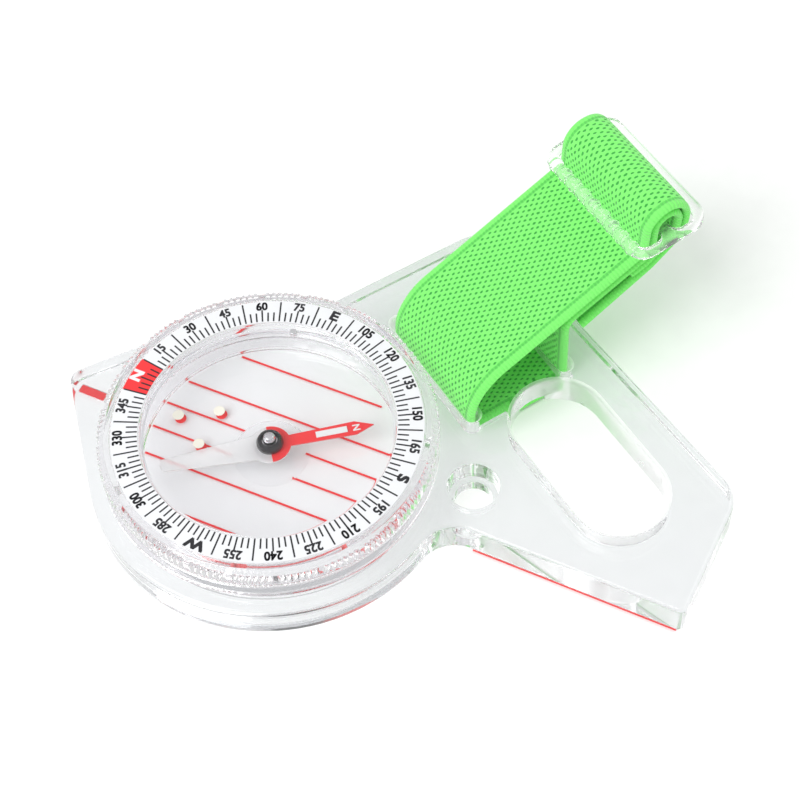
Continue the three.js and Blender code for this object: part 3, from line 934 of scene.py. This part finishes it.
def webbing(points, length, offset=0.0):
    """Closed knitted webbing along a path, with its place on the strap in the UV map."""
    half_width, half_thick = STRAP_WIDTH / 2, STRAP_THICK / 2
    columns = 76
    bm = bmesh.new()
    uv_layer = bm.loops.layers.uv.new("strap")
    count = len(points)
    places = {}
    rings = []
    for i, point in enumerate(points):
        run = points[min(i + 1, count - 1)] - points[max(i - 1, 0)]
        normal = Vector((-run.y, run.x)).normalized()
        along = offset + length * i / (count - 1)
        ring = []
        for side in (1, -1):
            for k in range(columns + 1):
                if side < 0 and k in (0, columns):
                    continue
                across = side * (half_width - STRAP_WIDTH * k / columns)
                edge = 1 - (abs(across) / half_width) ** 18
                depth = half_thick * math.sqrt(max(edge, 0)) - knit_relief(along, across) * min(1, edge * 4)
                place = point + normal * (side * max(depth, 0.0))
                vert = bm.verts.new((place.x, across, place.y))
                places[vert] = (along * MM, across * MM)
                ring.append(vert)
        rings.append(ring)
    for lower, upper in zip(rings, rings[1:]):
        bridge(bm, lower, upper)
    bm.faces.new(rings[0])
    bm.faces.new(rings[-1])
    for face in bm.faces:
        for loop in face.loops:
            loop[uv_layer].uv = places[loop.vert]
    return moved(bm, strap_place())


def arch_height(x, drop=0.0):
    return ARCH + RISE * x - drop


def arch_bend(x, radius, drop=0.0):
    return x + radius, arch_height(x + radius, drop) - radius * math.hypot(1, RISE)


def buckle_bar(side):
    reach = side * BUCKLE_PITCH
    return BUCKLE_AT[0] + reach * math.cos(BUCKLE_TILT), BUCKLE_AT[1] + reach * math.sin(BUCKLE_TILT)


BAND_ON_BAR = BUCKLE_BAR * math.sqrt(2) + 0.08 + STRAP_THICK / 2
LAYER = STRAP_THICK + 0.1
SPACING = 0.26


def make_strap(green):
    """One band: buckle, arch, first slot, under the plate, second slot, and back to the buckle."""
    front, middle = (buckle_bar(side) for side in (-1, 0))
    loop_centre = (middle[0], middle[1] + LOOP_RISE)
    under = RECESS / 2
    turn = 0.8
    last_bend = 2.2
    lean = math.atan(RISE)
    reach = BAND_ON_BAR + 0.01
    join = (front[0] + reach * math.sin(lean), front[1] - reach * math.cos(lean), 0)
    loop_path, loop_length = belt([
        join,
        (*arch_bend(0, BEND), BEND),
        (turn, under + turn, turn),
        (SLOT_SPACING - turn, under + turn, turn),
        (*arch_bend(SLOT_SPACING, last_bend, ARCH_DROP), -last_bend),
        (*front, BAND_ON_BAR + LAYER),
        (*loop_centre, -(LOOP - LAYER)),
        (*middle, -BAND_ON_BAR),
        (*front, -(BAND_ON_BAR + 2 * LAYER)),
        (*SEWN_END, 0),
    ], SPACING)
    loop = webbing(loop_path, loop_length)
    piece = add_piece("strap_loop", loop, green, None, ["strap_webbing", "strap_anchor"])
    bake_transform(piece)

    tail_path, tail_length = belt([
        join,
        (*front, BAND_ON_BAR),
        (*loop_centre, -LOOP),
        (*middle, -(BAND_ON_BAR + LAYER)),
        (*front, -(BAND_ON_BAR + 3 * LAYER)),
        (*FREE_END, 0),
    ], SPACING)
    tail = webbing(tail_path, tail_length)
    add_piece("strap_tail", tail, green, "strap_end", ["strap_fold"])


def make_bar_tack(thread):
    """Rows of short thread stitches that hold the strap's sewn end."""
    low, high = height("strap_stitching")
    rows, per_row, width = 2, 26, 16
    stitches = []
    for row in range(rows):
        for i in range(per_row):
            y = -width / 2 + width * (i + 0.5) / per_row
            stitch = turned([(0, -0.35, 0), (0.06, -0.3, 0), (0.06, 0.3, 0), (0, 0.35, 0)], 8)
            lean = Matrix.Rotation(math.radians(90), 4, "Y") @ Matrix.Rotation(math.radians(25), 4, "X")
            place = Matrix.Translation((25.15 + 0.3 * row, y, (low + high) / 2))
            stitches.append(moved(stitch, strap_place() @ place @ lean))
    add_piece("bar_tack", joined(stitches), thread, "strap_end", ["strap_stitching"])


def beaded_rod(beads, pitch):
    """The first bar's round front, swelling into beads."""
    end = beads * pitch / 2
    steps = beads * 14
    radius, swell = 0.86, 0.16
    profile = [(0, -end, 0)]
    for i in range(steps + 1):
        y = -end + 2 * end * i / steps
        profile.append((radius + swell * math.cos(TURN * y / pitch), y, 0))
    profile.append((0, end, 0))
    rod = turned(profile, 28)
    return moved(rod, Matrix.Translation((-BUCKLE_PITCH, 0, 0.12)) @ Matrix.Rotation(-math.pi / 2, 4, "X"))


def rounded_box(low, high, across, radius, steps, inwards=1):
    """A function that gives a round-cornered rectangle, moved inwards or outwards by an inset."""
    corners = [(low, across), (low, -across), (high, -across), (high, across)]

    def outline(inset):
        points = []
        for i, at in enumerate(corners):
            points += corner_arc(corners[i - 1], at, corners[(i + 1) % 4], radius, inwards * inset, steps)
        return points

    return outline


def make_buckle(acrylic):
    """A three-bar slide with beads along its first bar."""
    end = BUCKLE_PITCH + BUCKLE_BAR
    half = BUCKLE_WIDTH / 2
    opening = BUCKLE_PITCH - 2 * BUCKLE_BAR
    profile = edge_profile(-BUCKLE_BAR, BUCKLE_BAR, 0.4)
    loops = [(rounded_box(-end, end, half, 2.6, 8), profile)]
    for low in (-BUCKLE_BAR - opening, BUCKLE_BAR):
        loops.append((rounded_box(low, low + opening, half - BUCKLE_RAIL, 1.2, 6, -1), profile))
    frame_body = slab_with_holes(loops)
    whole = boolean(frame_body, [beaded_rod(9, 2.1)], "UNION")
    place = Matrix.Translation((BUCKLE_AT[0], 0, BUCKLE_AT[1])) @ Matrix.Rotation(-BUCKLE_TILT, 4, "Y")
    add_piece("buckle", moved(whole, strap_place() @ place), acrylic, "strap_end",
              ["strap_buckle"], clear=True)


# ---------------------------------------------------------------- scene
add_camera()
add_world()
let_light_through_acrylic()
add_floor()
add_area_light("key", (-250, 150, 420), 320, 1.35)
add_area_light("fill", (260, -260, 300), 260, 0.25)

clear = clear_plastic("clear_acrylic", (0.815, 0.83, 0.84))
clear_dial = clear_plastic("clear_dial", (0.97, 0.96, 0.97), roughness=0.04)
clear_capsule = clear_plastic("clear_capsule", (0.84, 0.84, 0.865), ior=1.44, roughness=0.01)
clear_weak = clear_plastic("clear_seat", (0.97, 0.97, 0.975), ior=1.06)
frosted = clear_plastic("matt_acrylic", (1, 1, 1), roughness=0.35, clearness=0.8)
clear_buckle = clear_plastic("clear_buckle", (1, 1, 1), ior=1.46, roughness=0.05, clearness=0.9)
seal_white = frosted_plastic("seal_white", (0.86, 0.86, 0.88), 0.45)
white_print = paint("white_print", (0.8, 0.81, 0.83), 0.4)
white_paint = paint("white_paint", (0.8, 0.8, 0.8), 0.35)
white_arm = frosted_plastic("needle_white", (0.99, 0.99, 0.99), 0.35)
black_print = paint("black_print", (0.012, 0.012, 0.016), 0.4)
red_print = paint("red_print", (0.85, 0.03, 0.035), 0.35)
black_plastic = paint("hub_black", (0.01, 0.01, 0.012), 0.22, coat=0.15)
luminous_paint = paint("luminous_paint", (0.93, 0.9, 0.78), 0.6)
steel_metal = metal("steel", (0.7, 0.7, 0.72), 0.2)
green_knit = knit_green("green_knit", (0.21, 0.9, 0.16), (0.03, 0.4, 0.045))
green_thread = paint("green_thread", (0.02, 0.3, 0.04), 0.7)

make_plate(clear, frosted)
make_direction_lines(red_print)
make_bezel(clear_dial)
make_scale(white_print, black_print, red_print)
make_capsule(clear_capsule, seal_white, steel_metal, red_print, luminous_paint, clear_weak)
make_north_lines(red_print)
make_needle(red_print, white_arm, white_paint, black_plastic, steel_metal)
make_strap(green_knit)
make_bar_tack(green_thread)
make_buckle(clear_buckle)
